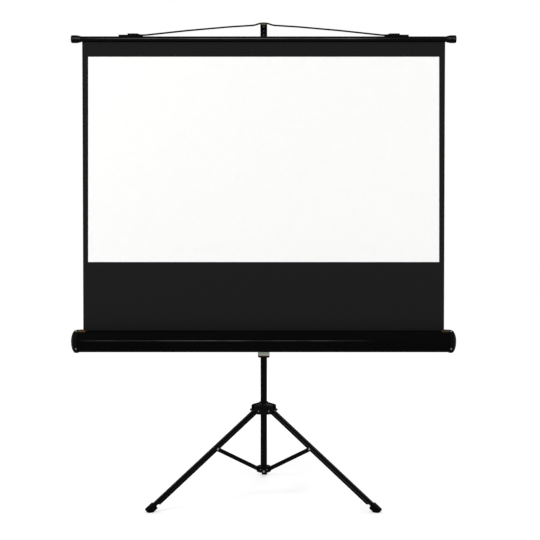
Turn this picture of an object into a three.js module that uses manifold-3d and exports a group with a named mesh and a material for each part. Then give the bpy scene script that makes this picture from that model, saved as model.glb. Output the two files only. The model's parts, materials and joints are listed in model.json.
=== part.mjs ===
// Projection screen on a folding tripod: case with spring roller, cloth, mast and hanger.
// Millimetres, +Z up, the picture faces -Y. The post's axis is the line that all is laid out from.
import * as THREE from 'three';
import { mergeVertices } from 'three/addons/utils/BufferGeometryUtils.js';
import Module from 'manifold-3d';

const wasm = await Module();
wasm.setup();

// General fits.
const seat = 0.3;
const running = 0.4;
const overrun = 2;
const pinFit = 0.3;

// Post, the fixed outer tube of the stand.
const postRadius = 12.5;
const postWall = 1.5;
const postBottom = 106.3;
const postTop = 1145;

// Collar at the foot of the post, which carries the struts.
const collarBottom = 101.6;
const collarHeight = 24;
const collarRadius = 28;
const collarChamfer = 3.5;
const strutPivotRadius = 22;
const strutPivotHeight = 114;
const collarSlotRadius = 14;
const collarPinRadius = 2.5;
const collarPinReach = 15.5;
const collarScrewRadius = 2;
const collarScrewHead = 3.6;
const collarScrewHeadHeight = 1.8;
const collarScrewLength = 10;
const collarScrewHeight = 108;

// Legs, pressed channels, given by the line of their middle in the open position.
const rearAngle = 90;
const legStartHeight = 336;
const legSlope = 0.751;
const legDepth = 19.5;
const legWidth = 16;
const legWall = 2;
const legTopReach = 14;
const legTopChamfer = 5;
const legFloorAt = legStartHeight * Math.hypot(1, legSlope) / legSlope;
const legCutBefore = 54.5;
const legCutAt = legFloorAt - legCutBefore;
const legCutRun = 6;
const tongueDepth = 13;
const legEndBefore = 14.5;
const legEndAt = legFloorAt - legEndBefore;
const hubPivotRadius = 40;
const hubPivotRise = 4;
const rivetAt = 207.7;
const rivetDrop = 5;
const rivetRadius = 2.5;
const rivetHeadRadius = 4.5;
const rivetHeadHeight = 1.8;

// Rubber boots.
const bootReach = 39.5;
const bootStart = legFloorAt - bootReach;
const bootEndBefore = 2;
const bootEnd = legFloorAt - bootEndBefore;
const bootDepth = 24;
const bootWidth = 23;
const bootChamfer = 3;

// Struts, folded strips.
const strutDepth = 15.5;
const strutWidth = 8;
const strutEndShares = [[0, 1], [0.6, 0.65], [0.85, 0], [0.6, -0.65], [0, -1]];

// Hub that slides on the post.
const hubDrop = 9;
const hubBottom = legStartHeight - hubDrop;
const hubSeatHeight = 34;
const hubCrownRise = 8;
const hubRadius = 48;
const hubChamfer = 6;
const hubRoofFall = 7;
const hubRoofEdge = 3;
const hubNeckRadius = 17;
const hubNeckHeight = 12;
const hubSlotRadius = 21;
const hubSlotGap = 0.6;
const hubPinRadius = 3;
const hubPinReach = 31;
const hubPinHeadRadius = 4.8;
const hubPinHeadLength = 3;

// Height of the middle of the case, which sleeve and bracket are placed from.
const caseMiddle = 611;

// Sleeve that slides on the post and carries the case.
const sleeveDrop = 68;
const sleeveBottom = caseMiddle - sleeveDrop;
const sleeveRise = 49;
const sleeveTop = caseMiddle + sleeveRise;
const sleeveRadius = 19.6;
const sleeveFlangeRadius = 22;
const sleeveFlangeHeight = 7.2;
const sleeveMouthDepth = 12.5;

// Zinc-plated bracket, a channel open to the back that grips the sleeve.
const bracketHalfWidth = 22.4;
const bracketWall = 2.5;
const bracketDrop = 60;
const bracketBottom = caseMiddle - bracketDrop;
const bracketRise = 41;
const bracketTop = caseMiddle + bracketRise;
const bracketBack = 8;
const bracketFront = 53.3;
const bracketBoltRadius = 2.4;
const bracketBoltHead = 4.6;
const bracketBoltHeadHeight = 2.4;
const bracketBoltY = 26;
const bracketBoltDrop = 39;
const bracketBoltHeight = caseMiddle - bracketBoltDrop;

// Clamp knobs behind the sleeve and behind the mouth of the post.
const knobScrewRadius = 3;
const knobRadius = 15;
const knobLength = 14;
const knobStandOff = 3;
const knobLobes = 6;
const knobLobeShare = 0.16;

// Swivel joint between bracket and case.
const swivelStudRadius = 5;
const swivelNutRadius = 9;
const swivelNutHeight = 6;
const swivelStudTail = 2;
const saddleThickness = 2.5;
const saddleHalfWidth = 55;
const saddleHalfHeight = 18;
const saddleRivetX = 45;
const saddleRivetRadius = 2;
const saddleRivetHead = 4;
const saddleRivetHeadHeight = 1.4;

// Case, an extruded tube with a ridge along its front and a slot on top.
const caseLength = 1452;
const caseHeight = 80;
const caseDepth = 72;
const caseWall = 1.6;
const caseOutlineShares = [
  [0.86, 1], [1, 0.7], [1, -0.7], [0.86, -1],
  [-0.53, -1], [-0.75, -0.8], [-1, 0.11], [-0.75, 0.8], [-0.53, 1],
];
const slotWidth = 8;
const capReach = 20;
const capSkirt = 8;
const capProud = 3;
const capDomeShares = [[0, 1], [0.45, 0.9], [0.8, 0.66], [1, 0.4]];
const capScrewRadius = 3;
const capScrewHeight = 1.4;
const capScrewInset = 4;
const capScrewPlaces = [['top', 1, 0, 0.5], ['bottom', -1, 1, 0.2]];
const lipWidth = 5;
const lipHeight = 3;

// Roller inside the case.
const rollerRadius = 18;
const rollerWall = 1.2;
const rollerEndGap = 16;
const rollerPlugLength = 18;
const woundThickness = 1.3;
const spindleRadius = 5;
const spindleLength = 330;
const idlerLength = 46;
const springRadius = 6.4;
const springWireRadius = 1;
const springTurns = 10;
const springLength = 240;
const springStart = 40;

// Screen cloth.
const clothPlane = 72;
const clothInset = 2;
const clothThickness = 1;

// Top bar, its end caps and the clamps for the hanger.
const barHeight = 1754.7;
const barOverhang = 4;
const barLength = caseLength + barOverhang * 2;
const barRadius = 10.8;
const barWall = 1.2;
const barCapLength = 36;
const barCapRadius = 14.8;
const barCapNeck = 12.4;
const barCapFlareShare = 0.55;
const barCapPlug = 12;
const clampInset = 181;
const clampOuterX = barLength / 2 - clampInset;
const clampStepRun = 34;
const clampStepX = clampOuterX - clampStepRun;
const clampHighRun = 71;
const clampHighX = clampOuterX - clampHighRun;
const clampLength = 91;
const clampInnerX = clampOuterX - clampLength;
const clampHalfWidth = 7;
const clampLowRise = 5;
const clampHighRise = 9.8;

// Wire hanger, which stands on the mast's hook.
const wireRadius = 2.2;
const wireRise = 15.3;
const wireEndRun = 41;
const wireEndX = clampOuterX - wireEndRun;
const wireBendRun = 99;
const wireBendX = clampOuterX - wireBendRun;
const wireArchX = 130;
const wireArchRise = 52.5;
const wireShoulderX = 35;
const wireShoulderRise = 59.5;
const wireTopX = 13.5;
const wireTopRise = 68.8;
const wireSetBack = 34;

// Mast, the inner tube, with its foot bush and the hook head at its top.
const mastRadius = 10.4;
const mastWall = 1.3;
const mastBottom = 800;
const mastRise = 57.3;
const mastFootRadius = 10.7;
const mastFootLength = 30;
const headHalfWidth = 13;
const headLength = 40;
const headRoof = 3;
const hookThickness = 15;
const hookLipHeight = 1.3;
const hookLipLength = 3;
const hookNose = 6;
const notchRadius = 2.6;
const notchDepth = 1;
const notchPitch = 16.5;

// Mouth piece at the top of the post.
const mouthRadius = 17;
const mouthSkirt = 22;
const mouthRoof = 12;

const roundSides = 24;
const smallSides = 10;

const colour = (color, roughness, metalness) => (
  new THREE.MeshStandardMaterial({ color, roughness, metalness }));
const finishes = {
  blackEnamel: () => colour(0x0c0c0d, 0.42, 0),
  blackPlastic: () => colour(0x101011, 0.55, 0),
  rubber: () => colour(0x0b0b0b, 0.85, 0),
  zinc: () => colour(0xa9a69c, 0.4, 0.9),
  steel: () => colour(0xb9b8b4, 0.35, 0.9),
  springWire: () => colour(0x3b3230, 0.4, 0.8),
  felt: () => colour(0x3d2c16, 0.95, 0),
  nylon: () => colour(0xd8d6cc, 0.6, 0),
  cloth: () => colour(0xf2f2f2, 0.9, 0),
};

const screen = new THREE.Group();

function addPiece(parent, name, geometry, material) {
  const mesh = new THREE.Mesh(geometry, material);
  mesh.name = name;
  parent.add(mesh);
  return mesh;
}

// Volume of a closed mesh by summed tetrahedra; negative where its faces point in.
function signedVolume(geometry) {
  const place = geometry.attributes.position;
  const index = geometry.index;
  const corners = [new THREE.Vector3(), new THREE.Vector3(), new THREE.Vector3()];
  let volume = 0;
  for (let i = 0; i < index.count; i += 3) {
    corners.forEach((corner, k) => corner.fromBufferAttribute(place, index.getX(i + k)));
    volume += corners[0].dot(corners[1].clone().cross(corners[2])) / 6;
  }
  return volume;
}

// Merges the shared corners, leaves out faces with no area and turns the others out.
function closed(geometry) {
  const bare = geometry.clone();
  bare.deleteAttribute('normal');
  bare.deleteAttribute('uv');
  const merged = mergeVertices(bare);
  const order = merged.index.array;
  const kept = [];
  for (let i = 0; i < order.length; i += 3) {
    const [a, b, c] = order.slice(i, i + 3);
    if (a !== b && b !== c && c !== a) kept.push(a, b, c);
  }
  merged.setIndex(kept);
  if (signedVolume(merged) < 0) merged.setIndex(kept.reverse());
  return merged;
}

function toSolid(geometry) {
  const whole = closed(geometry);
  return new wasm.Manifold(new wasm.Mesh({
    numProp: 3,
    vertProperties: Float32Array.from(whole.attributes.position.array),
    triVerts: Uint32Array.from(whole.index.array),
  }));
}

function toGeometry(solid) {
  const mesh = solid.getMesh();
  const geometry = new THREE.BufferGeometry();
  geometry.setAttribute('position', new THREE.BufferAttribute(Float32Array.from(mesh.vertProperties), 3));
  geometry.setIndex(Array.from(mesh.triVerts));
  return geometry;
}

function cut(geometry, ...tools) {
  return toGeometry(tools.reduce((solid, tool) => solid.subtract(toSolid(tool)), toSolid(geometry)));
}

function join(geometry, ...others) {
  return toGeometry(others.reduce((solid, other) => solid.add(toSolid(other)), toSolid(geometry)));
}

// Body turned about Z from a closed outline of [radius, height] points.
function turned(outline, sides) {
  const loop = [...outline, outline[0]].map(([radius, height]) => new THREE.Vector2(radius, height));
  const start = outline[0][0] === 0 ? loop.slice(0, -1) : loop;
  return closed(new THREE.LatheGeometry(start, sides).rotateX(Math.PI / 2));
}

function tube(outer, inner, bottom, top, sides) {
  return turned([[outer, bottom], [outer, top], [inner, top], [inner, bottom]], sides);
}

// Round bar from a start point along one axis, given by its letter.
function rod(radius, length, start, axis, sides = smallSides) {
  const bar = new THREE.CylinderGeometry(radius, radius, length, sides);
  if (axis === 'x') bar.rotateZ(Math.PI / 2).translate(length / 2, 0, 0);
  if (axis === 'y') bar.translate(0, length / 2, 0);
  if (axis === 'z') bar.rotateX(Math.PI / 2).translate(0, 0, length / 2);
  return bar.translate(...start);
}

function block(low, high) {
  const size = high.map((value, k) => value - low[k]);
  const middle = high.map((value, k) => (value + low[k]) / 2);
  return new THREE.BoxGeometry(...size).translate(...middle);
}

// Plate with an outline in the X-Z plane and its thickness centred on Y.
function sidePlate(outline, width) {
  const shape = new THREE.Shape(outline.map(([x, z]) => new THREE.Vector2(x, z)));
  const plate = new THREE.ExtrudeGeometry(shape, { depth: width, bevelEnabled: false });
  return plate.translate(0, 0, -width / 2).rotateX(Math.PI / 2);
}

// Bar along X from an outline in the Y-Z plane.
function alongX(outline, start, end) {
  const shape = new THREE.Shape(outline.map(([y, z]) => new THREE.Vector2(y, z)));
  const bar = new THREE.ExtrudeGeometry(shape, { depth: end - start, bevelEnabled: false });
  const turn = new THREE.Matrix4().makeBasis(
    new THREE.Vector3(0, 1, 0), new THREE.Vector3(0, 0, 1), new THREE.Vector3(1, 0, 0));
  return bar.applyMatrix4(turn).translate(start, 0, 0);
}

// Skin over a row of rings with as many points each, closed by flat ends.
function lofted(rings) {
  const count = rings[0].length;
  const index = [];
  for (let ring = 0; ring + 1 < rings.length; ring += 1) {
    for (let i = 0; i < count; i += 1) {
      const next = (i + 1) % count;
      const a = ring * count + i;
      const b = ring * count + next;
      index.push(a, b, a + count, b, b + count, a + count);
    }
  }
  const last = (rings.length - 1) * count;
  for (let i = 1; i + 1 < count; i += 1) {
    index.push(0, i + 1, i, last, last + i, last + i + 1);
  }
  const geometry = new THREE.BufferGeometry();
  geometry.setAttribute('position', new THREE.Float32BufferAttribute(rings.flat(2), 3));
  geometry.setIndex(index);
  return closed(geometry);
}

// Convex outline with every side moved in by a distance, or out where it is negative.
function inset(outline, distance) {
  const area = outline.reduce((sum, [x, y], i) => {
    const [nextX, nextY] = outline[(i + 1) % outline.length];
    return sum + x * nextY - nextX * y;
  }, 0);
  const side = Math.sign(area);
  const sides = outline.map(([x, y], i) => {
    const [nextX, nextY] = outline[(i + 1) % outline.length];
    const length = Math.hypot(nextX - x, nextY - y);
    const along = [(nextX - x) / length, (nextY - y) / length];
    const start = [x - side * along[1] * distance, y + side * along[0] * distance];
    return { start, along };
  });
  return sides.map(({ start, along }, i) => {
    const before = sides[(i + sides.length - 1) % sides.length];
    const cross = before.along[0] * along[1] - before.along[1] * along[0];
    const gap = [start[0] - before.start[0], start[1] - before.start[1]];
    const run = (gap[0] * along[1] - gap[1] * along[0]) / cross;
    return [before.start[0] + before.along[0] * run, before.start[1] + before.along[1] * run];
  });
}

// Post with its mouth piece at the top, which guides and clamps the mast.
const postBore = postRadius - postWall;
const postTube = tube(postRadius, postBore, postBottom, postTop, roundSides);
addPiece(screen, 'post_tube', postTube, finishes.blackEnamel());

const mouthBottom = postTop - mouthSkirt;
const mouthTop = postTop + mouthRoof;
const mouthKnobHeight = postTop + mouthRoof / 2;
const mouth = cut(
  turned([
    [postRadius + seat, mouthBottom], [mouthRadius, mouthBottom], [mouthRadius, mouthTop],
    [mastRadius + seat, mouthTop], [mastRadius + seat, postTop + seat], [postRadius + seat, postTop + seat],
  ], roundSides),
  rod(knobScrewRadius + seat, mouthRadius + overrun, [0, 0, mouthKnobHeight], 'y'),
);
addPiece(screen, 'post_mouth', mouth, finishes.blackPlastic());

// Lobed clamp knob with its screw, on the back of a round body of the given radius.
function clampKnob(bodyRadius, innerReach, height) {
  const points = [];
  const steps = knobLobes * 4;
  for (let i = 0; i < steps; i += 1) {
    const angle = (i / steps) * 2 * Math.PI;
    const radius = knobRadius * (1 + knobLobeShare * Math.cos(knobLobes * angle));
    points.push(new THREE.Vector2(radius * Math.cos(angle), radius * Math.sin(angle)));
  }
  const lobes = new THREE.Shape(points);
  const head = new THREE.ExtrudeGeometry(lobes, { depth: knobLength, bevelEnabled: false });
  const headStart = bodyRadius + knobStandOff;
  head.rotateX(-Math.PI / 2).translate(0, headStart, 0);
  const screw = rod(knobScrewRadius, headStart + overrun - innerReach, [0, innerReach, 0], 'y');
  return join(head, screw).translate(0, 0, height);
}

const mastKnob = clampKnob(mouthRadius, mastRadius + seat, mouthKnobHeight);
addPiece(screen, 'mast_knob', mastKnob, finishes.blackPlastic());

// Collar, a cup under the post with a slot and a pin for each strut.
const collarTop = collarBottom + collarHeight;
const legNames = ['rear', 'left', 'right'];
const spokes = legNames.map((_, i) => THREE.MathUtils.degToRad(rearAngle + i * 360 / legNames.length));
const strutSlot = block(
  [collarSlotRadius, -strutWidth / 2 - seat * 2, collarBottom - overrun],
  [collarRadius + overrun, strutWidth / 2 + seat * 2, collarTop + overrun]);
const strutPinBore = rod(
  collarPinRadius + pinFit, collarPinReach * 2 + overrun * 4,
  [strutPivotRadius, -collarPinReach - overrun * 2, strutPivotHeight], 'y');
const collarScrewStart = collarRadius + seat;
const collar = cut(
  turned([
    [0, collarBottom], [collarRadius - collarChamfer, collarBottom],
    [collarRadius, collarBottom + collarChamfer],
    [collarRadius, collarTop - collarChamfer], [collarRadius - collarChamfer, collarTop],
    [postRadius + seat, collarTop], [postRadius + seat, postBottom - seat], [0, postBottom - seat],
  ], roundSides),
  ...spokes.map((turn) => strutSlot.clone().rotateZ(turn)),
  ...spokes.map((turn) => strutPinBore.clone().rotateZ(turn)),
  rod(collarScrewRadius + seat, collarScrewLength + overrun,
    [0, -collarScrewStart - overrun, collarScrewHeight], 'y'),
);
addPiece(screen, 'lower_collar', collar, finishes.blackPlastic());

const strutPin = rod(
  collarPinRadius, collarPinReach * 2, [strutPivotRadius, -collarPinReach, strutPivotHeight], 'y');

const collarScrew = join(
  rod(collarScrewRadius, collarScrewLength - seat + collarScrewHeadHeight / 2,
    [0, -collarScrewStart - collarScrewHeadHeight / 2, collarScrewHeight], 'y'),
  rod(collarScrewHead, collarScrewHeadHeight,
    [0, -collarScrewStart - collarScrewHeadHeight, collarScrewHeight], 'y'),
);
addPiece(screen, 'collar_screw', collarScrew, finishes.steel());

// Hub with a slot for each leg. The pins are stubs in the cheeks beside the slot. A ring seat
// inside the crown takes the sleeve's flange when the legs are folded.
const hubSeat = hubBottom + hubSeatHeight;
const hubCrown = hubSeat + hubCrownRise;
const hubCrownRadius = sleeveFlangeRadius + running;
const hubNeckTop = hubSeat + hubNeckHeight;
const hubPivotHeight = legStartHeight + hubPivotRise * Math.hypot(1, legSlope);
const legSlot = block(
  [hubSlotRadius, -legWidth / 2 - hubSlotGap, hubBottom - overrun],
  [hubRadius + overrun, legWidth / 2 + hubSlotGap, hubCrown + overrun]);
const legPinBore = join(
  rod(hubPinRadius + pinFit, hubRadius * 2, [hubPivotRadius, -hubRadius, hubPivotHeight], 'y'),
  ...[hubPinReach - hubPinHeadLength - seat, hubPinHeadLength + seat - hubPinReach - hubRadius].map(
    (start) => rod(hubPinHeadRadius + seat, hubRadius, [hubPivotRadius, start, hubPivotHeight], 'y')),
);
const hub = cut(
  turned([
    [postRadius + running, hubBottom], [hubRadius - hubChamfer, hubBottom],
    [hubRadius, hubBottom + hubChamfer],
    [hubRadius, hubCrown - hubRoofFall - hubRoofEdge],
    [hubRadius - hubRoofEdge, hubCrown - hubRoofFall], [hubCrownRadius, hubCrown],
    [hubCrownRadius, hubSeat], [hubNeckRadius, hubSeat],
    [hubNeckRadius, hubNeckTop], [postRadius + running, hubNeckTop],
  ], roundSides),
  ...spokes.map((turn) => legSlot.clone().rotateZ(turn)),
  ...spokes.map((turn) => legPinBore.clone().rotateZ(turn)),
);
addPiece(screen, 'hub', hub, finishes.blackPlastic());

const stubStart = legWidth / 2 + hubSlotGap;
const hubPin = join(
  rod(hubPinRadius, hubPinReach - stubStart, [hubPivotRadius, stubStart, hubPivotHeight], 'y'),
  rod(hubPinHeadRadius, hubPinHeadLength,
    [hubPivotRadius, hubPinReach - hubPinHeadLength, hubPivotHeight], 'y'),
);
const hubPinOther = closed(hubPin.clone().scale(1, -1, 1));

// Place of a point on the leg: distance down its middle line and height above that line.
const legAlong = new THREE.Vector2(1, -legSlope).normalize();
function legPoint([along, above]) {
  return [
    hubPivotRadius + legAlong.x * along - legAlong.y * above,
    legStartHeight + legAlong.y * along + legAlong.x * above,
  ];
}
const rivetPlace = legPoint([rivetAt, -rivetDrop]);

function legChannel() {
  const half = legDepth / 2;
  const tongue = half - tongueDepth;
  const outline = [
    [-legTopReach, legTopChamfer - half], [legTopChamfer - legTopReach, -half], [legCutAt, -half],
    [legCutAt + legCutRun, tongue], [legEndAt, tongue], [legEndAt, half],
    [legTopChamfer - legTopReach, half], [-legTopReach, half - legTopChamfer],
  ];
  const hollow = [
    [-legTopReach - overrun, -half - overrun], [legEndAt + overrun, -half - overrun],
    [legEndAt + overrun, half - legWall], [-legTopReach - overrun, half - legWall],
  ];
  return cut(
    sidePlate(outline.map(legPoint), legWidth),
    sidePlate(hollow.map(legPoint), legWidth - legWall * 2),
    rod(rivetRadius + pinFit, legWidth + overrun * 2,
      [rivetPlace[0], -legWidth / 2 - overrun, rivetPlace[1]], 'y'),
  );
}

function legBoot() {
  const half = bootDepth / 2;
  const outline = [
    [bootStart, -half + bootChamfer], [bootStart + bootChamfer, -half], [bootEnd, -half],
    [bootEnd, half - bootChamfer], [bootEnd - bootChamfer, half], [bootStart, half],
  ];
  const top = legDepth / 2;
  const pocket = [
    [bootStart - overrun, top - tongueDepth - seat], [legEndAt + seat, top - tongueDepth - seat],
    [legEndAt + seat, top + seat], [bootStart - overrun, top + seat],
  ];
  const floor = block([0, -bootWidth, -bootEnd], [bootEnd, bootWidth, 0]);
  return cut(
    sidePlate(outline.map(legPoint), bootWidth),
    sidePlate(pocket.map(legPoint), legWidth + seat * 2),
    floor,
  );
}

function strutBar() {
  const foot = new THREE.Vector2(strutPivotRadius, strutPivotHeight);
  const head = new THREE.Vector2(...rivetPlace);
  const along = head.clone().sub(foot).normalize();
  const across = new THREE.Vector2(-along.y, along.x);
  const end = (centre, sign) => strutEndShares.map(([out, up]) => centre.clone()
    .addScaledVector(along, sign * out * strutDepth / 2)
    .addScaledVector(across, sign * up * strutDepth / 2)
    .toArray());
  return cut(
    sidePlate([...end(head, 1), ...end(foot, -1)], strutWidth),
    rod(collarPinRadius + pinFit, strutWidth * 2, [foot.x, -strutWidth, foot.y], 'y'),
    rod(rivetRadius + pinFit, strutWidth * 2, [head.x, -strutWidth, head.y], 'y'),
  );
}

function strutRivet() {
  const reach = legWidth / 2 + seat;
  const [x, z] = rivetPlace;
  return join(
    rod(rivetRadius, reach * 2 + rivetHeadHeight, [x, -reach - rivetHeadHeight / 2, z], 'y'),
    rod(rivetHeadRadius, rivetHeadHeight, [x, reach, z], 'y'),
    rod(rivetHeadRadius, rivetHeadHeight, [x, -reach - rivetHeadHeight, z], 'y'),
  );
}

for (const [i, side] of legNames.entries()) {
  const limb = new THREE.Group();
  limb.rotation.z = spokes[i];
  addPiece(limb, `leg_${side}`, legChannel(), finishes.blackEnamel());
  addPiece(limb, `boot_${side}`, legBoot(), finishes.rubber());
  addPiece(limb, `strut_${side}`, strutBar(), finishes.blackEnamel());
  addPiece(limb, `rivet_${side}`, strutRivet(), finishes.steel());
  addPiece(limb, `collar_pin_${side}`, strutPin.clone(), finishes.steel());
  addPiece(limb, `hub_pin_${side}_a`, hubPin.clone(), finishes.steel());
  addPiece(limb, `hub_pin_${side}_b`, hubPinOther.clone(), finishes.steel());
  screen.add(limb);
}

// Sleeve on the post. Its mouth takes the hub's neck when the legs are folded.
const knobHeight = (sleeveBottom + sleeveTop) / 2;
const sleeve = cut(
  turned([
    [hubNeckRadius + running, sleeveBottom], [sleeveFlangeRadius, sleeveBottom],
    [sleeveFlangeRadius, sleeveBottom + sleeveFlangeHeight],
    [sleeveRadius, sleeveBottom + sleeveFlangeHeight], [sleeveRadius, sleeveTop],
    [postRadius + running, sleeveTop], [postRadius + running, sleeveBottom + sleeveMouthDepth],
    [hubNeckRadius + running, sleeveBottom + sleeveMouthDepth],
  ], roundSides),
  rod(knobScrewRadius + seat, sleeveRadius + overrun, [0, 0, knobHeight], 'y'),
);
addPiece(screen, 'carriage_sleeve', sleeve, finishes.blackPlastic());
const carriageKnob = clampKnob(sleeveRadius, postRadius + seat, knobHeight);
addPiece(screen, 'carriage_knob', carriageKnob, finishes.blackPlastic());

const bracketInner = bracketHalfWidth - bracketWall;
const bracketOutline = [
  [-bracketHalfWidth, -bracketFront], [bracketHalfWidth, -bracketFront], [bracketHalfWidth, bracketBack],
  [bracketInner, bracketBack], [bracketInner, bracketWall - bracketFront],
  [-bracketInner, bracketWall - bracketFront], [-bracketInner, bracketBack],
  [-bracketHalfWidth, bracketBack],
].map(([x, y]) => new THREE.Vector2(x, y));
const bracketBody = new THREE.ExtrudeGeometry(
  new THREE.Shape(bracketOutline), { depth: bracketTop - bracketBottom, bevelEnabled: false });
const bracket = cut(
  bracketBody.translate(0, 0, bracketBottom),
  rod(swivelStudRadius + running, bracketFront, [0, -bracketFront - overrun, caseMiddle], 'y'),
  rod(bracketBoltRadius + seat, bracketHalfWidth * 2 + overrun * 2,
    [-bracketHalfWidth - overrun, -bracketBoltY, bracketBoltHeight], 'x'),
);
addPiece(screen, 'case_bracket', bracket, finishes.zinc());

const bracketBolt = join(
  rod(bracketBoltRadius, bracketHalfWidth * 2 + bracketBoltHeadHeight + seat * 2,
    [-bracketHalfWidth - bracketBoltHeadHeight / 2 - seat, -bracketBoltY, bracketBoltHeight], 'x'),
  rod(bracketBoltHead, bracketBoltHeadHeight,
    [bracketHalfWidth + seat, -bracketBoltY, bracketBoltHeight], 'x'),
  rod(bracketBoltHead, bracketBoltHeadHeight,
    [-bracketHalfWidth - seat - bracketBoltHeadHeight, -bracketBoltY, bracketBoltHeight], 'x'),
);
addPiece(screen, 'bracket_bolt', bracketBolt, finishes.steel());

// Swivel: nut behind the bracket's front, stud on the saddle that is riveted to the case.
const saddleBack = bracketFront + seat;
const caseBack = saddleBack + saddleThickness + seat;
const nutFront = bracketFront - bracketWall - seat;
const nut = cut(
  rod(swivelNutRadius, swivelNutHeight, [0, -nutFront, caseMiddle], 'y', 6),
  rod(swivelStudRadius + running, swivelNutHeight + overrun * 2, [0, -nutFront - overrun, caseMiddle], 'y'),
);
addPiece(screen, 'swivel_nut', nut, finishes.steel());

const saddleRivetBores = [-saddleRivetX, saddleRivetX].map((x) => rod(
  saddleRivetRadius + seat, overrun * 4 + saddleThickness, [x, -caseBack - overrun * 2, caseMiddle], 'y'));
const saddle = cut(
  join(
    block([-saddleHalfWidth, -saddleBack - saddleThickness, caseMiddle - saddleHalfHeight],
      [saddleHalfWidth, -saddleBack, caseMiddle + saddleHalfHeight]),
    rod(swivelStudRadius, saddleBack + saddleThickness / 2 - nutFront + swivelNutHeight + swivelStudTail,
      [0, -saddleBack - saddleThickness / 2, caseMiddle], 'y'),
  ),
  ...saddleRivetBores,
);
addPiece(screen, 'case_saddle', saddle, finishes.zinc());

const saddleRivet = (x) => join(
  rod(saddleRivetRadius, caseBack + caseWall - saddleBack + seat * 2,
    [x, -caseBack - caseWall - seat, caseMiddle], 'y'),
  rod(saddleRivetHead, saddleRivetHeadHeight, [x, seat - saddleBack, caseMiddle], 'y'),
);
addPiece(screen, 'saddle_rivet_left', saddleRivet(-saddleRivetX), finishes.steel());
addPiece(screen, 'saddle_rivet_right', saddleRivet(saddleRivetX), finishes.steel());

// Case shell, a C-shaped extrusion that is open at the slot.
const caseMiddleY = -caseBack - caseDepth / 2;
const caseTop = caseMiddle + caseHeight / 2;
const shellHalf = caseLength / 2 - capReach;
const caseOutline = caseOutlineShares.map(([y, z]) => [
  caseMiddleY + y * caseDepth / 2, caseMiddle + z * caseHeight / 2,
]);
const slotBack = slotWidth / 2 - clothPlane;
const slotFront = -slotWidth / 2 - clothPlane;
const shellProfile = [
  [slotBack, caseTop], ...caseOutline, [slotFront, caseTop], [slotFront, caseTop - caseWall],
  ...inset(caseOutline, caseWall).reverse(), [slotBack, caseTop - caseWall],
];
const shell = cut(alongX(shellProfile, -shellHalf, shellHalf), ...saddleRivetBores);
addPiece(screen, 'case_shell', shell, finishes.blackEnamel());

const lipReach = shellHalf - capSkirt - seat;
const slotLip = block([-lipReach, slotBack + seat, caseTop + seat],
  [lipReach, slotBack + seat + lipWidth, caseTop + seat + lipHeight]);
addPiece(screen, 'slot_lip', slotLip, finishes.felt());

// End caps, crowned covers whose skirts go over the shell, each held by two screws.
const capOutline = inset(caseOutline, -capProud);
// A screw's place: up or down, faces passed from the cap's front edge there, share along the face.
function onCapFace(radius, start, end, [, upward, faces, share], x) {
  const first = caseOutlineShares.findIndex(([y, z]) => y < 0 && z === upward) - upward * faces;
  const [startY, startZ] = capOutline[first];
  const [endY, endZ] = capOutline[first - upward];
  const turn = Math.atan2(upward * Math.abs(endY - startY), -Math.abs(endZ - startZ));
  return rod(radius, end - start, [0, start, 0], 'y').rotateX(turn)
    .translate(x, startY + (endY - startY) * share, startZ + (endZ - startZ) * share);
}

function caseCap(side) {
  const stations = [
    [shellHalf - capSkirt, 1], ...capDomeShares.map(([out, share]) => [shellHalf + out * capReach, share]),
  ];
  const ring = ([x, share]) => capOutline.map(([y, z]) => [
    side * x, caseMiddleY + (y - caseMiddleY) * share, caseMiddle + (z - caseMiddle) * share,
  ]);
  const pocket = [side * (shellHalf - capSkirt - overrun), side * (shellHalf + seat)].sort((a, b) => a - b);
  const screwX = side * (shellHalf - capScrewInset);
  return cut(
    lofted(stations.map(ring)),
    alongX(inset(caseOutline, -seat), ...pocket),
    ...capScrewPlaces.map((place) => onCapFace(
      capScrewRadius / 2 + seat, -capProud, overrun, place, screwX)),
  );
}
addPiece(screen, 'case_cap_left', caseCap(-1), finishes.blackPlastic());
addPiece(screen, 'case_cap_right', caseCap(1), finishes.blackPlastic());
for (const place of capScrewPlaces) {
  for (const [side, x] of [['left', capScrewInset - shellHalf], ['right', shellHalf - capScrewInset]]) {
    const capScrew = join(
      onCapFace(capScrewRadius / 2, seat - capProud, seat + capScrewHeight / 2, place, x),
      onCapFace(capScrewRadius, seat, seat + capScrewHeight, place, x));
    addPiece(screen, `cap_screw_${side}_${place[0]}`, capScrew, finishes.steel());
  }
}

// Round pieces on the roller's line inside the case.
function onRoller(outer, inner, start, end) {
  return tube(outer, inner, start, end, roundSides).rotateY(Math.PI / 2)
    .translate(0, caseMiddleY, caseMiddle);
}
const rollerHalfLength = shellHalf - rollerEndGap;
const clothHalfWidth = rollerHalfLength - clothInset;
const rollerBore = rollerRadius - rollerWall;
const woundInner = rollerRadius + seat;
const plugStart = rollerHalfLength - rollerPlugLength;
const rollerTube = onRoller(rollerRadius, rollerBore, -rollerHalfLength, rollerHalfLength);
const woundCloth = onRoller(woundInner + woundThickness, woundInner, -clothHalfWidth, clothHalfWidth);
const plugBore = spindleRadius + running;
addPiece(screen, 'roller_tube', rollerTube, finishes.steel());
addPiece(screen, 'wound_cloth', woundCloth, finishes.cloth());
addPiece(screen, 'roller_plug_left', onRoller(rollerBore - seat, plugBore, -rollerHalfLength, -plugStart),
  finishes.nylon());
addPiece(screen, 'roller_plug_right', onRoller(rollerBore - seat, plugBore, plugStart, rollerHalfLength),
  finishes.nylon());
const spindle = rod(spindleRadius, spindleLength, [-shellHalf, caseMiddleY, caseMiddle], 'x');
const idler = rod(spindleRadius, idlerLength, [shellHalf - idlerLength, caseMiddleY, caseMiddle], 'x');
addPiece(screen, 'spring_spindle', spindle, finishes.steel());
addPiece(screen, 'idler_pin', idler, finishes.steel());

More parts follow.
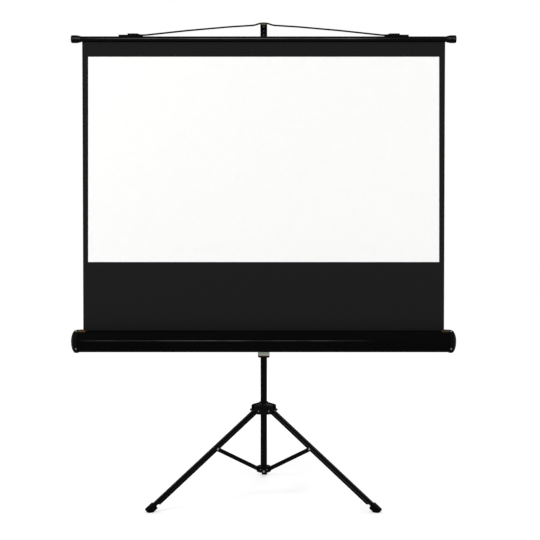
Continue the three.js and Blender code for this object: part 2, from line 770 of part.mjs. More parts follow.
// Torsion spring wound round the spindle.
class SpringLine extends THREE.Curve {
  getPoint(share) {
    const angle = share * springTurns * 2 * Math.PI;
    return new THREE.Vector3(
      springStart - plugStart + share * springLength,
      caseMiddleY + springRadius * Math.cos(angle),
      caseMiddle + springRadius * Math.sin(angle));
  }
}
const springSection = new THREE.Shape([[1, 0], [0, 1], [-1, 0], [0, -1]]
  .map(([x, y]) => new THREE.Vector2(x * springWireRadius, y * springWireRadius)));
const rollerSpring = new THREE.ExtrudeGeometry(springSection, {
  steps: springTurns * 8, bevelEnabled: false, extrudePath: new SpringLine(),
});
addPiece(screen, 'roller_spring', closed(rollerSpring), finishes.springWire());

// Cloth from the roller up through the slot to the top bar.
const barBottom = barHeight - barRadius;
addPiece(screen, 'screen_cloth', block(
  [-clothHalfWidth, -clothPlane - clothThickness / 2, caseMiddle],
  [clothHalfWidth, clothThickness / 2 - clothPlane, barBottom - seat]), finishes.cloth());

// Top bar with its flared end caps.
function onBar(outline, side) {
  const body = turned(outline, roundSides).rotateY(Math.PI / 2);
  return closed(body.scale(side, 1, 1)).translate(0, -clothPlane, barHeight);
}
const barHalf = barLength / 2;
const barCapStart = barHalf - barCapLength;
const barCapFlareX = barCapStart + barCapLength * barCapFlareShare;
const barTubeEnd = barHalf - barCapPlug;
addPiece(screen, 'top_bar', onBar([
  [barRadius, -barTubeEnd], [barRadius, barTubeEnd], [barRadius - barWall, barTubeEnd],
  [barRadius - barWall, -barTubeEnd],
], 1), finishes.blackEnamel());
const barCapOutline = [
  [0, barHalf], [barCapRadius - capProud, barHalf], [barCapRadius, barHalf - capProud],
  [barCapRadius, barCapFlareX], [barCapNeck, barCapStart], [barRadius + seat, barCapStart],
  [barRadius + seat, barTubeEnd + seat], [0, barTubeEnd + seat],
];
addPiece(screen, 'bar_cap_left', onBar(barCapOutline, -1), finishes.blackPlastic());
addPiece(screen, 'bar_cap_right', onBar(barCapOutline, 1), finishes.blackPlastic());

// Clamps on the bar, each with a blind bore that takes one end of the wire.
const barTop = barHeight + barRadius;
const wireAxisHeight = barHeight + wireRise;
function barClamp(side) {
  const foot = barHeight + barRadius / 2;
  const outline = [
    [clampOuterX, foot], [clampOuterX, barTop + clampLowRise], [clampStepX, barTop + clampLowRise],
    [clampStepX, barTop + clampHighRise], [clampHighX, barTop + clampHighRise],
    [clampInnerX, barTop + clampLowRise / 2], [clampInnerX, foot],
  ];
  const body = cut(
    sidePlate(outline, clampHalfWidth * 2).translate(0, -clothPlane, 0),
    rod(barRadius + seat, barLength, [0, -clothPlane, barHeight], 'x', roundSides),
    rod(wireRadius + seat, wireEndX + seat - wireBendX, [wireBendX, -clothPlane, wireAxisHeight], 'x'),
  );
  return closed(body.scale(side, 1, 1));
}
addPiece(screen, 'bar_clamp_left', barClamp(-1), finishes.blackPlastic());
addPiece(screen, 'bar_clamp_right', barClamp(1), finishes.blackPlastic());

// Round wire through points that lie in one plane, mitred at its bends.
function wireThrough(points, normal, radius, sides) {
  const rings = points.map((point, i) => {
    const before = points[Math.max(i - 1, 0)];
    const after = points[Math.min(i + 1, points.length - 1)];
    const arrive = (i > 0 ? point.clone().sub(before) : after.clone().sub(point)).normalize();
    const leave = (i + 1 < points.length ? after.clone().sub(point) : arrive.clone()).normalize();
    const tangent = arrive.clone().add(leave).normalize();
    const side = new THREE.Vector3().crossVectors(normal, tangent);
    const stretch = 1 / tangent.dot(leave);
    return Array.from({ length: sides }, (_, k) => {
      const angle = (k / sides) * 2 * Math.PI;
      return point.clone()
        .addScaledVector(normal, radius * Math.cos(angle))
        .addScaledVector(side, radius * Math.sin(angle) * stretch)
        .toArray();
    });
  });
  return lofted(rings);
}
const wireStations = [
  [-wireEndX, wireRise], [-wireBendX, wireRise], [-wireArchX, wireArchRise],
  [-wireShoulderX, wireShoulderRise], [-wireTopX, wireTopRise],
  [wireTopX, wireTopRise], [wireShoulderX, wireShoulderRise], [wireArchX, wireArchRise],
  [wireBendX, wireRise], [wireEndX, wireRise],
];
const climb = wireTopRise - wireRise;
const wirePoints = wireStations.map(([x, rise]) => new THREE.Vector3(
  x, -clothPlane + wireSetBack * (rise - wireRise) / climb, barHeight + rise));
const wireNormal = new THREE.Vector3(0, climb, -wireSetBack).normalize();
addPiece(screen, 'hanger_wire', wireThrough(wirePoints, wireNormal, wireRadius, smallSides),
  finishes.springWire());

// Mast with a plug at its foot that runs in the post.
const mastTop = barHeight + mastRise;
const headBottom = mastTop - headLength;
addPiece(screen, 'mast_tube', tube(mastRadius, mastRadius - mastWall, mastBottom, mastTop, roundSides),
  finishes.blackEnamel());
const mastSpigot = mastRadius - mastWall - seat;
addPiece(screen, 'mast_foot', turned([
  [0, mastBottom - mastFootLength], [mastFootRadius, mastBottom - mastFootLength],
  [mastFootRadius, mastBottom - seat], [mastSpigot, mastBottom - seat],
  [mastSpigot, mastBottom + mastFootLength / 2], [0, mastBottom + mastFootLength / 2],
], roundSides), finishes.blackPlastic());

// Head of the mast with the shelf and lip that the hanger stands on.
const wireTopY = wireSetBack - clothPlane;
const shelfTop = barHeight + wireTopRise - wireRadius - seat;
const shelfBack = wireTopY + wireRadius + seat;
const lipBack = wireTopY - wireRadius - seat * 2;
const hookFront = lipBack - hookLipLength;
const headTop = mastTop + seat + hookThickness - headRoof;
const headOutline = [
  [headHalfWidth, headBottom], [headHalfWidth, headTop], [shelfBack, headTop], [shelfBack, shelfTop],
  [lipBack, shelfTop], [lipBack, shelfTop + hookLipHeight], [hookFront, shelfTop + hookLipHeight],
  [hookFront, shelfTop + hookNose - hookThickness], [hookFront + hookNose, shelfTop - hookThickness],
  [-headHalfWidth, shelfTop - hookThickness], [-headHalfWidth, headBottom],
];
const notchHeight = shelfTop - hookThickness / 2 + hookNose / 2;
const notch = (front, height) => rod(
  notchRadius, notchDepth + overrun, [0, front - overrun, height], 'y');
const head = cut(
  alongX(headOutline, -headHalfWidth, headHalfWidth),
  rod(mastRadius + seat, mastTop + seat - headBottom + overrun,
    [0, 0, headBottom - overrun], 'z', roundSides),
  notch(hookFront, notchHeight),
  notch(-headHalfWidth, notchHeight - notchPitch),
  notch(-headHalfWidth, notchHeight - notchPitch * 2),
);
addPiece(screen, 'mast_head', head, finishes.blackPlastic());

// The part stands on the floor with its box centred over the origin.
const reach = new THREE.Box3().setFromObject(screen);
screen.position.set(0, -(reach.min.y + reach.max.y) / 2, -reach.min.z);

export default screen;
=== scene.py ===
import json

import bmesh
import bpy
import numpy as np
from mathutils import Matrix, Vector


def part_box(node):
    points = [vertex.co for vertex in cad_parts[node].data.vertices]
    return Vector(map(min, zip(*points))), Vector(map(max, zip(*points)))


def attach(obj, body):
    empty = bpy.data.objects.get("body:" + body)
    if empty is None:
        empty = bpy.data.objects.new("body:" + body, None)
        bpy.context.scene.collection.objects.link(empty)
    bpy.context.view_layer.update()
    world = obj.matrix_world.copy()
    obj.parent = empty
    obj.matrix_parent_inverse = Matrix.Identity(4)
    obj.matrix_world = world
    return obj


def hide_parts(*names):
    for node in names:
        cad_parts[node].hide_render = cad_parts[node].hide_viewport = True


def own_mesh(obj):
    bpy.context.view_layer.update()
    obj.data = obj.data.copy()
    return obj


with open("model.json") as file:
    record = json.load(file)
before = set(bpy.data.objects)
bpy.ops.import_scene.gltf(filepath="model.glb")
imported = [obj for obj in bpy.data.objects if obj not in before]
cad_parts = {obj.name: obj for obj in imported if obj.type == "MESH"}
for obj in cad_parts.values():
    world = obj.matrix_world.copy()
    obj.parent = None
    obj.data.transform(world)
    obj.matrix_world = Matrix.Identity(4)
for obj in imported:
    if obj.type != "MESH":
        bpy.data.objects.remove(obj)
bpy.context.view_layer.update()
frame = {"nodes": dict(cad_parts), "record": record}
scene = bpy.context.scene

# Camera. It stands level, 0.88 m up, which puts all three feet on one floor, and
# 4 m in front of the cloth, where the picture is 351 of the 540 photo pixels wide.
cloth_low, cloth_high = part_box("screen_cloth")
cloth_y = (cloth_low.y + cloth_high.y) / 2
camera_away, camera_aside, camera_up = 4.0, 0.024, 0.88
photo_px, focal_px = 540, 1055.4
camera_data = bpy.data.cameras.new("camera")
camera_data.sensor_width = 36.0
camera_data.lens = camera_data.sensor_width * focal_px / photo_px
camera = bpy.data.objects.new("camera", camera_data)
camera.location = (camera_aside, cloth_y - camera_away, camera_up)
camera.rotation_euler = (np.pi / 2, 0, 0)
scene.collection.objects.link(camera)
scene.camera = camera
scene.view_settings.view_transform = "Standard"


# Studio. White floor and world, so that the ground of the picture is white and the feet keep
# a soft shadow. Three large soft lamps: key from the left, fill from the right, one from behind.
def add(tree, kind, inputs=None, **settings):
    """One shader node with its settings; inputs maps a socket to a value or to the output that feeds it."""
    made = tree.nodes.new("ShaderNode" + kind)
    for key, value in settings.items():
        setattr(made, key, value)
    for socket, value in (inputs or {}).items():
        if isinstance(value, bpy.types.NodeSocket):
            tree.links.new(value, made.inputs[socket])
        else:
            made.inputs[socket].default_value = value
    return made


def seen_directly(tree):
    """1 for a ray of the camera, also by way of a mirror or glass, and 0 for a ray that only lights."""
    path = add(tree, "LightPath")
    seen = path.outputs["Is Camera Ray"]
    for ray in ("Is Transmission Ray", "Is Glossy Ray"):
        seen = add(tree, "Math", {0: seen, 1: path.outputs[ray]}, operation="MAXIMUM").outputs[0]
    return seen


room_light = 0.62
world = bpy.data.worlds.new("white_room")
world.use_nodes = True
scene.world = world
tree = world.node_tree
room = tree.nodes["Background"]
room.inputs["Color"].default_value = (1, 1, 1, 1)
strength = add(tree, "MapRange", {"Value": seen_directly(tree), "To Min": room_light, "To Max": 1.0})
tree.links.new(strength.outputs[0], room.inputs["Strength"])

floor_half, floor_grey = 30.0, 0.8
corners = np.array([[-1, -1, 0], [1, -1, 0], [1, 1, 0], [-1, 1, 0]]) * floor_half
floor_mesh = bpy.data.meshes.new("floor")
floor_mesh.from_pydata(corners.tolist(), [], [[0, 1, 2, 3]])
floor = bpy.data.objects.new("floor", floor_mesh)
scene.collection.objects.link(floor)
floor_paint = bpy.data.materials.new("white_floor")
floor_paint.use_nodes = True
floor_mesh.materials.append(floor_paint)
tree = floor_paint.node_tree
shader = tree.nodes["Principled BSDF"]
shader.inputs["Base Color"].default_value = (floor_grey, floor_grey, floor_grey, 1)
shader.inputs["Roughness"].default_value = 1.0
shader.inputs["Specular IOR Level"].default_value = 0.0
shader.inputs["Emission Color"].default_value = (1, 1, 1, 1)
# Far from the object the lamps reach the floor less, so it glows more there and stays white.
near_away, far_away = 2.0, 7.0
near_glow, far_glow = 0.33, 0.53
where = add(tree, "TexCoord")
away = add(tree, "VectorMath", {0: where.outputs["Object"]}, operation="LENGTH")
glow = add(tree, "MapRange", {
    "Value": away.outputs["Value"], "From Min": near_away, "From Max": far_away,
    "To Min": near_glow, "To Max": far_glow,
})
seen_glow = add(tree, "Math", {0: seen_directly(tree), 1: glow.outputs[0]}, operation="MULTIPLY")
tree.links.new(seen_glow.outputs[0], shader.inputs["Emission Strength"])

aim_height = 0.95
for name, place, width, watts in (
    ("key", (-3.2, -3.6, 3.4), 1.6, 90),
    ("fill", (3.4, -3.0, 2.4), 3.0, 45),
    ("back", (0.6, 3.4, 3.4), 3.0, 60),
):
    lamp_data = bpy.data.lights.new(name, "AREA")
    lamp_data.size = width
    lamp_data.energy = watts
    lamp = bpy.data.objects.new(name, lamp_data)
    lamp.location = place
    aim = Vector((0, 0, aim_height)) - Vector(place)
    lamp.rotation_euler = aim.to_track_quat("-Z", "Y").to_euler()
    scene.collection.objects.link(lamp)


# Post and mast: two welded steel tubes, the mast sliding in the post, stove enamelled satin black.
# The enamel lies a little uneven, like fine orange peel, and the ends of the tubes are deburred.
def linear(code):
    """Linear RGBA of an sRGB hex colour: c / 12.92 below 0.04045, else ((c + 0.055) / 1.055) ** 2.4."""
    share = np.array([int(code[i : i + 2], 16) for i in (1, 3, 5)]) / 255
    low = share / 12.92
    high = ((share + 0.055) / 1.055) ** 2.4
    return (*np.where(share > 0.04045, high, low), 1.0)


def finish(name, roughness=0.5, metallic=0.0, level=0.5):
    """A Principled material with its constants, its node tree and its shader; nodes give it its colour."""
    made = bpy.data.materials.new(name)
    made.use_nodes = True
    shader = made.node_tree.nodes["Principled BSDF"]
    shader.inputs["Roughness"].default_value = roughness
    shader.inputs["Metallic"].default_value = metallic
    shader.inputs["Specular IOR Level"].default_value = level
    return made, made.node_tree, shader


def grain(tree, wide_mm, stretch=(1, 1, 1), detail=3.0):
    """Noise on Object coordinates whose spots are wide_mm across, times stretch along each axis."""
    where = add(tree, "TexCoord")
    scale = tuple(1000 / (wide_mm * longer) for longer in stretch)
    mapped = add(tree, "Mapping", {"Vector": where.outputs["Object"], "Scale": scale})
    spots = add(tree, "TexNoise", {"Vector": mapped.outputs[0], "Scale": 1.0, "Detail": detail})
    return spots.outputs["Fac"]


def blended(tree, value, start, end, before, after):
    """Colour from before to after as the value goes from start to end; each is a hex code or an output."""
    share = add(tree, "MapRange", {"Value": value, "From Min": start, "From Max": end})
    first, second = (linear(tone) if isinstance(tone, str) else tone for tone in (before, after))
    # Sockets 6 and 7 are the Mix node's two colours, and its output 2 is their mix.
    mix = add(tree, "Mix", {"Factor": share.outputs[0], 6: first, 7: second}, data_type="RGBA")
    return mix.outputs[2]


# Nearly all of the noise lies between these two values.
noise_low, noise_high = 0.3, 0.7


def mottled(tree, dark, light, wide_mm, stretch=(1, 1, 1), detail=3.0):
    """Colour that wanders between dark and light in patches wide_mm across."""
    return blended(tree, grain(tree, wide_mm, stretch, detail), noise_low, noise_high, dark, light)


def drift(tree, low, high, wide_mm, stretch=(1, 1, 1), start=noise_low, end=noise_high):
    """Value in patches wide_mm across that goes from low to high as their noise goes from start to end."""
    wander = add(tree, "MapRange", {
        "Value": grain(tree, wide_mm, stretch), "From Min": start, "From Max": end,
        "To Min": low, "To Max": high,
    })
    return wander.outputs[0]


def grained(tree, shader, wide_mm, deep_mm, stretch=(1, 1, 1), detail=3.0):
    """Bump of the shader by grain that is wide_mm across and deep_mm deep."""
    bump = add(tree, "Bump", {
        "Height": grain(tree, wide_mm, stretch, detail), "Distance": deep_mm / 1000, "Strength": 1.0,
    })
    tree.links.new(bump.outputs[0], shader.inputs["Normal"])


# Stove enamel: liquid paint baked on steel. Even black with a soft gloss. Its orange peel is 1 mm
# wide, and is drawn 2.2 mm wide to show.
enamel, tree, shader = finish("stove_enamelled_steel", level=0.03)
tree.links.new(mottled(tree, "#030303", "#080808", wide_mm=90), shader.inputs["Base Color"])
tree.links.new(drift(tree, 0.34, 0.46, wide_mm=20), shader.inputs["Roughness"])
grained(tree, shader, wide_mm=2.2, deep_mm=0.06, detail=1.0)


def skin(rings, ends=True):
    """Points and faces of a surface through rings of as many points each; a flat face closes each end."""
    count, around = rings.shape[:2]
    index = np.arange(count * around).reshape(count, around)
    turn = np.roll(index, -1, axis=1)
    faces = np.stack([index[:-1], turn[:-1], turn[1:], index[1:]], axis=-1).reshape(-1, 4).tolist()
    if ends:
        faces += [index[0][::-1].tolist(), index[-1].tolist()]
    return rings.reshape(-1, 3), faces


def lathe(profile, sides=64, origin=(0, 0, 0), axis=(0, 0, 1)):
    """Rings of a turned form: each [radius, height] of the profile goes once round the axis at origin."""
    profile = np.asarray(profile, float)
    angle = np.linspace(0, 2 * np.pi, sides, endpoint=False)
    along = np.array(Vector(axis).normalized())
    side = np.array(Vector(axis).orthogonal().normalized())
    other = np.cross(along, side)
    circle = np.cos(angle)[:, None] * side + np.sin(angle)[:, None] * other
    return np.array(origin) + profile[:, :1, None] * circle + profile[:, 1:, None] * along


weld_gap, sliver_edge = 1e-6, 1e-7


def solid(skins, sharp=32.0):
    """A mesh of one or more skins: doubles merged, faces turned outwards, edges above sharp degrees kept."""
    points = np.concatenate([place for place, _ in skins])
    starts = np.cumsum([0] + [len(place) for place, _ in skins])
    faces = [[i + start for i in face] for (_, loops), start in zip(skins, starts) for face in loops]
    mesh = bpy.data.meshes.new("solid")
    mesh.from_pydata(points.tolist(), [], faces)
    work = bmesh.new()
    work.from_mesh(mesh)
    bmesh.ops.remove_doubles(work, verts=work.verts, dist=weld_gap)
    bmesh.ops.dissolve_degenerate(work, edges=work.edges, dist=sliver_edge)
    bmesh.ops.recalc_face_normals(work, faces=work.faces)
    work.to_mesh(mesh)
    work.free()
    mesh.shade_smooth()
    mesh.set_sharp_from_angle(angle=np.radians(sharp))
    return mesh


def piece(name, mesh, material, body, nodes=()):
    """The object of a mesh, with its material, its body and the nodes that it stands for."""
    mesh.name = name
    mesh.materials.clear()
    mesh.materials.append(material)
    made = bpy.data.objects.new(name, mesh)
    scene.collection.objects.link(made)
    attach(made, body)
    if nodes:
        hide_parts(*nodes)
    return made


def tube_profile(outer, inner, start, end, ease=0.0005):
    """Closed [radius, height] line of a tube's wall whose four edges are broken by ease."""
    return [
        (outer - ease, start), (outer, start + ease), (outer, end - ease), (outer - ease, end),
        (inner + ease, end), (inner, end - ease), (inner, start + ease), (inner + ease, start),
        (outer - ease, start),
    ]


def middle(node):
    """Middle of a CAD node's box."""
    low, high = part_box(node)
    return (low + high) / 2


post_y = middle("post_tube").y
post_wall, mast_wall = 0.0015, 0.0013
for node, body, wall in (("post_tube", "stand", post_wall), ("mast_tube", "mast", mast_wall)):
    low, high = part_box(node)
    outer = (high.x - low.x) / 2
    rings = lathe(tube_profile(outer, outer - wall, low.z, high.z), origin=(0, post_y, 0))
    piece(f"{node}_enamelled", solid([skin(rings, ends=False)]), enamel, body, [node])

# Moulded pieces: mouth of the post, mast foot and head, sleeve, lower collar, hub, knobs and the
# clamps on the bar. Injection-moulded nylon with a fine spark-eroded grain and rounded edges.
nylon_black, tree, shader = finish("moulded_black_nylon", level=0.03)
tree.links.new(mottled(tree, "#040404", "#090909", wide_mm=50), shader.inputs["Base Color"])
tree.links.new(drift(tree, 0.46, 0.6, wide_mm=8), shader.inputs["Roughness"])
# The real grain is 0.1 mm, too fine to show; it is drawn 0.7 mm wide.
grained(tree, shader, wide_mm=0.7, deep_mm=0.05, detail=2.0)
edge_angle, flat_angle = np.radians([30.0, 0.5])
edge_steps, copy_gap = 3, 1e-5


def rounded_piece(node, width, material, body, suffix):
    """A piece that stands for a CAD solid: its copy, with edges above edge_angle rounded by width."""
    work = bmesh.new()
    work.from_mesh(frame["nodes"][node].data)
    bmesh.ops.remove_doubles(work, verts=work.verts, dist=copy_gap)
    bmesh.ops.dissolve_limit(work, angle_limit=flat_angle, verts=work.verts, edges=work.edges)
    mesh = bpy.data.meshes.new(node)
    work.to_mesh(mesh)
    work.free()
    if "custom_normal" in mesh.attributes:
        mesh.attributes.remove(mesh.attributes["custom_normal"])
    mesh.shade_smooth()
    mesh.set_sharp_from_angle(angle=edge_angle)
    made = piece(f"{node}_{suffix}", mesh, material, body, [node])
    bevel = made.modifiers.new("edges", "BEVEL")
    bevel.width = width
    bevel.segments = edge_steps
    bevel.limit_method = "ANGLE"
    bevel.angle_limit = edge_angle
    bevel.harden_normals = False


for node, width, body in (
    ("post_mouth", 0.0008, "stand"),
    ("mast_foot", 0.0005, "mast"),
    ("carriage_sleeve", 0.0008, "case"),
    ("lower_collar", 0.0008, "stand"),
    ("hub", 0.001, "hub"),
    ("mast_knob", 0.0012, "mast_knob"),
    ("carriage_knob", 0.0012, "case_knob"),
    ("mast_head", 0.0012, "mast"),
    ("bar_clamp_left", 0.0012, "bar"),
    ("bar_clamp_right", 0.0012, "bar"),
):
    rounded_piece(node, width, nylon_black, body, "moulded")

# Legs: strip steel pressed to a channel, open below, with a groove rolled into each side, enamelled
# like the post. The upper end is clipped at its corners, the lower end is cut back to a tongue.
leg_slope = 0.751
leg_along = np.array([1, -leg_slope]) / np.hypot(1, leg_slope)
leg_start = np.array([0.040, 0.336])
leg_wide, leg_deep = 0.016, 0.0195
leg_wall, leg_fold, lip_round = 0.002, 0.0025, 0.0003
groove_half, groove_slope, groove_deep = 0.0028, 0.0010, 0.0007
side_at, edge_at = leg_wide / 2, leg_deep / 2
# Half of the section, from the lower edge up to the middle of the back: distance across, share of the
# height it is measured from, distance above that, and how far the groove draws it in.
leg_side = np.array([
    [side_at, 0, lip_round, 0], [side_at, 0.5, -groove_half - groove_slope, 0],
    [side_at, 0.5, -groove_half, 1], [side_at, 0.5, groove_half, 1],
    [side_at, 0.5, groove_half + groove_slope, 0],
])
quarter = np.linspace(0, np.pi / 2, 5)
leg_bend = np.stack([
    side_at - leg_fold * (1 - np.cos(quarter)), np.ones_like(quarter),
    -leg_fold * (1 - np.sin(quarter)), np.zeros_like(quarter),
], axis=1)
leg_half = np.concatenate([leg_side, leg_bend])
# The inner side lies the wall's width inside, and where the fold turns, more and more of it below.
leg_inner = leg_half[:-2] - [leg_wall, 0, 0, 0]
below_shares = np.array([0.4, 0.8, 1.0])
leg_inner[len(leg_side) :, 2] -= leg_wall * below_shares
leg_lip = np.array([[side_at - leg_wall + lip_round, 0, 0, 0], [side_at - lip_round, 0, 0, 0]])
mirror = [-1, 1, 1, 1]
leg_section = np.concatenate([
    leg_half, leg_half[::-1] * mirror, leg_lip[::-1] * mirror, leg_inner * mirror, leg_inner[::-1], leg_lip,
])
# Stations down the leg: distance along it, its lower and upper edge, and how deep the groove is there.
leg_top, leg_bottom, clip = -0.014, 0.545, 0.005
groove_top, groove_bottom, groove_run = 0.024, 0.500, 0.006
cut_start, cut_end, tongue_at = 0.505, 0.511, -0.00325
leg_stations = np.array([
    [leg_top, clip - edge_at, edge_at - clip, 0], [leg_top + clip, -edge_at, edge_at, 0],
    [groove_top, -edge_at, edge_at, 0], [groove_top + groove_run, -edge_at, edge_at, 1],
    [groove_bottom - groove_run, -edge_at, edge_at, 1], [groove_bottom, -edge_at, edge_at, 0],
    [cut_start, -edge_at, edge_at, 0], [cut_end, tongue_at, edge_at, 0], [leg_bottom, tongue_at, edge_at, 0],
])


def on_spoke(angle, out, across, height):
    """Points out from the post's axis, across and up, turned by the angle round that axis."""
    x = np.cos(angle) * out - np.sin(angle) * across
    y = post_y + np.sin(angle) * out + np.cos(angle) * across
    return np.stack([x, y, np.broadcast_to(height, np.shape(x))], axis=-1)


def leg_rings(angle):
    """Rings of a leg at an angle round the post. A point lies lower + share (upper - lower) + offset above
    the leg's line, the middle offsets shrunk with the height, and across it less the groove's depth."""
    along, lower, upper, depth = (column[:, None] for column in leg_stations.T)
    across, share, offset, drawn = leg_section.T
    shrink = np.where(share == 0.5, (upper - lower) / leg_deep, 1)
    above = lower + share * (upper - lower) + offset * shrink
    across = across - np.sign(across) * drawn * depth * groove_deep
    out = leg_start[0] + leg_along[0] * along - leg_along[1] * above
    height = leg_start[1] + leg_along[1] * along + leg_along[0] * above
    return on_spoke(angle, out, across, height)


def values_of(items, key, wide=1, kind=float):
    """Array of one property of all items, with wide numbers in a row."""
    found = np.empty(len(items) * wide, kind)
    items.foreach_get(key, found)
    return found.reshape(-1, wide)


def above_line(mesh, angle):
    """Height of each point above the leg's line: across that line, with its distance out and up."""
    x, y, height = values_of(mesh.vertices, "co", 3).T
    out = np.cos(angle) * x + np.sin(angle) * (y - post_y)
    return leg_along[0] * (height - leg_start[1]) - leg_along[1] * (out - leg_start[0])


def near(tree, place, centre, full, gone, most=1.0, least=0.0):
    """Value that is most up to full metres either side of centre and falls to least at gone metres."""
    off = add(tree, "Math", {0: place, 1: centre}, operation="SUBTRACT")
    off = add(tree, "Math", {0: off.outputs[0]}, operation="ABSOLUTE")
    fall = add(tree, "MapRange", {
        "Value": off.outputs[0], "From Min": full, "From Max": gone, "To Min": most, "To Max": least,
    })
    return fall.outputs[0]


def with_painted_highlight(tree, tone, highlight_tone, *shares):
    """Colour from tone to highlight_tone, a painted highlight, by the product of the shares."""
    product = shares[0]
    for share in shares[1:]:
        product = add(tree, "Math", {0: product, 1: share}, operation="MULTIPLY").outputs[0]
    return blended(tree, product, 0.0, 1.0, tone, highlight_tone)


def leg_enamel(side, highlight_strength):
    """Enamel of a leg, with a grey line painted along its groove as a highlight, stronger on some legs than
    on others.
    """
    made, tree, shader = finish(f"leg_enamel_painted_highlight_{side}", level=0.03)
    above = add(tree, "Attribute", attribute_name="above_line")
    groove_highlight = near(tree, above.outputs["Fac"], centre=-0.0008, full=0.0006, gone=0.0026, most=highlight_strength)
    highlight_patches = drift(tree, 0.6, 1.0, wide_mm=60, start=0.35, end=0.65)
    tone = mottled(tree, "#020202", "#060606", wide_mm=90)
    tree.links.new(with_painted_highlight(tree, tone, "#2c2c2c", groove_highlight, highlight_patches), shader.inputs["Base Color"])
    tree.links.new(drift(tree, 0.34, 0.46, wide_mm=20), shader.inputs["Roughness"])
    grained(tree, shader, wide_mm=2.2, deep_mm=0.06, detail=1.0)
    return made


spokes = dict(zip(("rear", "left", "right"), np.radians([90, 210, 330])))
# Strength of the painted highlight along each leg's groove, by leg.
leg_highlight_strengths = {"rear": 0.6, "left": 0.3, "right": 1.0}
for side, angle in spokes.items():
    mesh = solid([skin(leg_rings(angle))])
    mesh.attributes.new("above_line", "FLOAT", "POINT").data.foreach_set("value", above_line(mesh, angle))
    paint = leg_enamel(side, leg_highlight_strengths[side])
    piece(f"leg_{side}_pressed", mesh, paint, f"leg_{side}", [f"leg_{side}"])

# Struts: flat steel bars with rounded ends and a panel pressed into each face, enamelled. Each is
# held by a pin in the collar and by a rivet in the leg.
strut_round, strut_half, end_share = 0.00775, 0.004, 0.86
strut_foot = np.array([0.022, 0.114])
rivet_at, rivet_drop = 0.2077, 0.005
strut_head = leg_start + leg_along * rivet_at + np.array([leg_along[1], -leg_along[0]]) * rivet_drop
strut_line = (strut_head - strut_foot) / np.linalg.norm(strut_head - strut_foot)
strut_up = np.array([-strut_line[1], strut_line[0]])
panel_deep, panel_slope = 0.0008, 0.0006
rim_wide, rim_ease, rim_corner = 0.0030, 0.0007, 0.0002
# How far each ring lies inside the outline, and how far off the middle plane.
panel = np.array([
    [strut_round, strut_half - panel_deep], [rim_wide + panel_slope, strut_half - panel_deep],
    [rim_wide, strut_half], [rim_ease, strut_half], [rim_corner, strut_half - rim_corner],
    [0, strut_half - rim_ease],
])
panel = np.concatenate([panel, panel[::-1] * [1, -1]])


def strut_rings(angle):
    """Rings of a strut: its outline, half an ellipse round each end, drawn in by each ring's inset."""
    sweep = np.linspace(-np.pi / 2, np.pi / 2, 13)[:, None]
    size = (strut_round - panel[:, 0])[:, None, None]
    end = size * (end_share * np.cos(sweep) * strut_line + np.sin(sweep) * strut_up)
    line = np.concatenate([strut_head + end, strut_foot - end], axis=1)
    return on_spoke(angle, line[..., 0], panel[:, 1:], line[..., 1])


for side, angle in spokes.items():
    mesh = solid([skin(strut_rings(angle), ends=False)])
    piece(f"strut_{side}_pressed", mesh, enamel, f"strut_{side}", [f"strut_{side}"])

# Boots: moulded rubber, pushed over the leg ends. Dull black. The mould's grain is 0.3 mm wide, and
# is drawn 1.2 mm wide to show.
boot_edge = 0.002
rubber, tree, shader = finish("moulded_rubber", roughness=0.85, level=0.03)
tree.links.new(mottled(tree, "#040404", "#0a0a0a", wide_mm=12), shader.inputs["Base Color"])
grained(tree, shader, wide_mm=1.2, deep_mm=0.08)
for side in spokes:
    rounded_piece(f"boot_{side}", boot_edge, rubber, f"leg_{side}", "moulded")


# Bracket and saddle: pressed sheet steel, zinc plated and passivated. The film shows a cloudy
# spangle, greenish, and warmer near the bracket's lower edge.
def places(tree):
    """X, Y and Z of Object coordinates, in metres."""
    where = add(tree, "TexCoord")
    split = add(tree, "SeparateXYZ", {0: where.outputs["Object"]})
    return split.outputs[0], split.outputs[1], split.outputs[2]


bracket_edge, saddle_edge = 0.0006, 0.0005
bracket_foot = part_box("case_bracket")[0].z
warm_start, warm_end = 0.002, 0.011
dark_edge_start, dark_edge_end = 0.0016, 0.0028
zinc, tree, shader = finish("passivated_zinc_plate", metallic=1.0)
_, _, height = places(tree)
warm = mottled(tree, "#8a857e", "#a8a198", wide_mm=6)
green = mottled(tree, "#858f83", "#a3ac9f", wide_mm=6)
film = blended(tree, height, bracket_foot + warm_start, bracket_foot + warm_end, warm, green)
# The plate is near black along its lower edge, just above the sleeve.
plate = blended(tree, height, bracket_foot + dark_edge_start, bracket_foot + dark_edge_end, "#15110f", film)
tree.links.new(plate, shader.inputs["Base Color"])
tree.links.new(drift(tree, 0.34, 0.55, wide_mm=9), shader.inputs["Roughness"])
rounded_piece("case_bracket", bracket_edge, zinc, "case", "plated")
rounded_piece("case_saddle", saddle_edge, zinc, "case", "plated")

